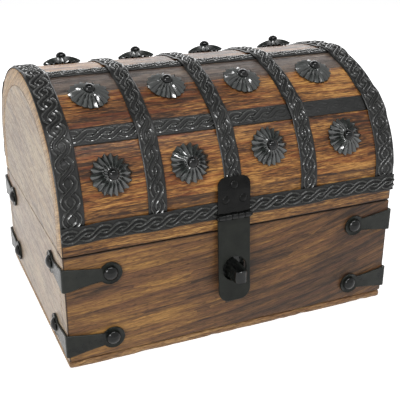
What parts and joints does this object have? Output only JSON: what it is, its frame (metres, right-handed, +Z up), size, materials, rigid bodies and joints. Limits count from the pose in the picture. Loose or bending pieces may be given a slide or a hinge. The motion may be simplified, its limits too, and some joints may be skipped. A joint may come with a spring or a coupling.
{
  "type": "wooden treasure box",
  "caption": "Small wooden treasure chest with an arched staved lid on back hinges, iron straps, rosette studs, corner brackets and a hasp over a staple.",
  "frame": {"origin": "centre of the underside of the floor board, on the surface that the box stands on", "axes": "+X along the front to the right, the front faces -Y, +Z up"},
  "size_m": [0.2108, 0.1725, 0.1519],
  "materials": {
    "base_wood": "stained mid brown, satin, streaky grain along the boards",
    "lid_wood": "stained warm orange brown, glossy, dark streaks",
    "end_wood": "stained greyish beige, satin",
    "strap_iron": "black lacquer, glossy, pressed relief",
    "stud_iron": "black lacquer with a slight green tone, glossy",
    "hasp_iron": "black lacquer, half gloss"
  },
  "bodies": {
    "base": {"base_front": "base_wood", "base_back": "base_wood", "base_left": "end_wood", "base_right": "end_wood", "base_floor": "base_wood", "bracket_front_left_upper": "hasp_iron", "bracket_front_left_lower": "hasp_iron", "bracket_front_right_upper": "hasp_iron", "bracket_front_right_lower": "hasp_iron", "bracket_back_left_upper": "hasp_iron", "bracket_back_left_lower": "hasp_iron", "bracket_back_right_upper": "hasp_iron", "bracket_back_right_lower": "hasp_iron", "hasp_staple": "hasp_iron", "hinge_left_base_leaf": "hasp_iron", "hinge_left_pin": "hasp_iron", "hinge_right_base_leaf": "hasp_iron", "hinge_right_pin": "hasp_iron"},
    "lid": {"lid_board_front": "lid_wood", "lid_board_back": "lid_wood", "lid_stave_1": "lid_wood", "lid_stave_2": "lid_wood", "lid_stave_3": "lid_wood", "lid_stave_4": "lid_wood", "lid_stave_5": "lid_wood", "lid_stave_6": "lid_wood", "lid_end_left": "end_wood", "lid_end_right": "end_wood", "band_1": "strap_iron", "band_2": "strap_iron", "band_3": "strap_iron", "band_4": "strap_iron", "band_5": "strap_iron", "strip_front": "strap_iron", "strip_top": "strap_iron", "strip_back": "strap_iron", "rail_front": "strap_iron", "rail_back": "strap_iron", "stud_front_low_1": "stud_iron", "stud_front_low_2": "stud_iron", "stud_front_low_3": "stud_iron", "stud_front_low_4": "stud_iron", "stud_front_high_1": "stud_iron", "stud_front_high_2": "stud_iron", "stud_front_high_3": "stud_iron", "stud_front_high_4": "stud_iron", "stud_back_high_1": "stud_iron", "stud_back_high_2": "stud_iron", "stud_back_high_3": "stud_iron", "stud_back_high_4": "stud_iron", "stud_back_low_1": "stud_iron", "stud_back_low_2": "stud_iron", "stud_back_low_3": "stud_iron", "stud_back_low_4": "stud_iron", "hasp_plate": "hasp_iron", "hasp_pin": "hasp_iron", "hinge_left_lid_leaf": "hasp_iron", "hinge_right_lid_leaf": "hasp_iron"},
    "hasp": {"hasp_leaf": "hasp_iron"}
  },
  "joints": [
    {"name": "lid_open", "type": "hinge", "parent": "base", "child": "lid", "pos_m": [0, 0.0788, 0.06725], "axis": [-1, 0, 0], "range_deg": [0, 105]},
    {"name": "hasp_swing", "type": "hinge", "parent": "lid", "child": "hasp", "pos_m": [-0.0055, -0.0794, 0.076], "axis": [-1, 0, 0], "range_deg": [0, 160]}
  ]
}
